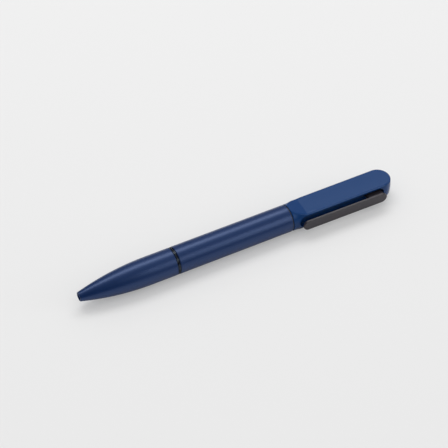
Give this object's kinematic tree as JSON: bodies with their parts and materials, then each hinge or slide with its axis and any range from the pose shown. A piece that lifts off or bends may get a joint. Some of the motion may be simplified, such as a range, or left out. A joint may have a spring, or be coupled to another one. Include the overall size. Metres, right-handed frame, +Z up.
{
  "type": "ballpoint pen",
  "caption": "Twist-action ballpoint pen with a tapered nose, a round barrel, a flat-sided upper section and a side clip.",
  "frame": {"origin": "on the surface that the pen lies on, under the middle of its bounding box", "axes": "+X along the pen from the writing end to the rear end, +Z up and square to the flats, the clip on the -Y side"},
  "size_m": [0.1382, 0.0138, 0.0112],
  "materials": {
    "satin_blue": "satin blue anodised",
    "matte_blue": "matte blue lacquer",
    "satin_black": "satin black lacquer",
    "gloss_black": "gloss black",
    "brass": "turned",
    "steel": "bright drawn",
    "white_plastic": "moulded",
    "black_plastic": "moulded",
    "rubber": "moulded"
  },
  "bodies": {
    "barrel": {"barrel_tube": "satin_blue", "front_thread_bush": "brass", "mechanism_bush": "brass", "mechanism_housing": "brass", "seam_washer": "black_plastic", "friction_o_ring": "rubber"},
    "ring": {"centre_ring": "gloss_black"},
    "nose": {"nose_shell": "satin_blue", "nose_thread_insert": "brass", "return_spring": "steel"},
    "refill": {"writing_ball": "steel", "refill_point": "steel", "refill_holder": "brass", "refill_tube": "steel", "refill_collar": "brass", "refill_end_plug": "white_plastic", "drive_plunger": "white_plastic", "guide_pin": "steel"},
    "upper": {"upper_shell": "matte_blue", "cam_sleeve": "black_plastic", "retaining_ring": "steel", "cap_coupling": "brass", "clip_foot": "satin_black"},
    "clip": {"clip_arm": "satin_black"}
  },
  "joints": [
    {"name": "upper_twist", "type": "hinge", "parent": "barrel", "child": "upper", "pos_m": [0.0219, 0.00125, 0.0056], "axis": [-1, 0, 0], "range_deg": [0, 180]},
    {"name": "refill_travel", "type": "slide", "parent": "barrel", "child": "refill", "axis": [-1, 0, 0], "range_m": [0, 0.005], "deforming": ["return_spring"]},
    {"name": "ring_slide", "type": "slide", "parent": "barrel", "child": "ring", "axis": [-1, 0, 0], "range_m": [0, 0.0045]},
    {"name": "nose_unscrew", "type": "hinge", "parent": "ring", "child": "nose", "pos_m": [-0.0294, 0.00125, 0.0056], "axis": [-1, 0, 0], "range_deg": [0, 2160]},
    {"name": "clip_spring", "type": "hinge", "parent": "upper", "child": "clip", "pos_m": [0.0555, -0.0064, 0.0056], "axis": [0, 0, 1], "range_deg": [0, 4], "stiffness_Nm_per_rad": 2}
  ],
  "couplings": [
    {"joint": "refill_travel", "follows": "upper_twist", "m_per_rad": 0.0015915},
    {"joint": "nose_unscrew", "follows": "ring_slide", "rad_per_m": 8377.5}
  ]
}
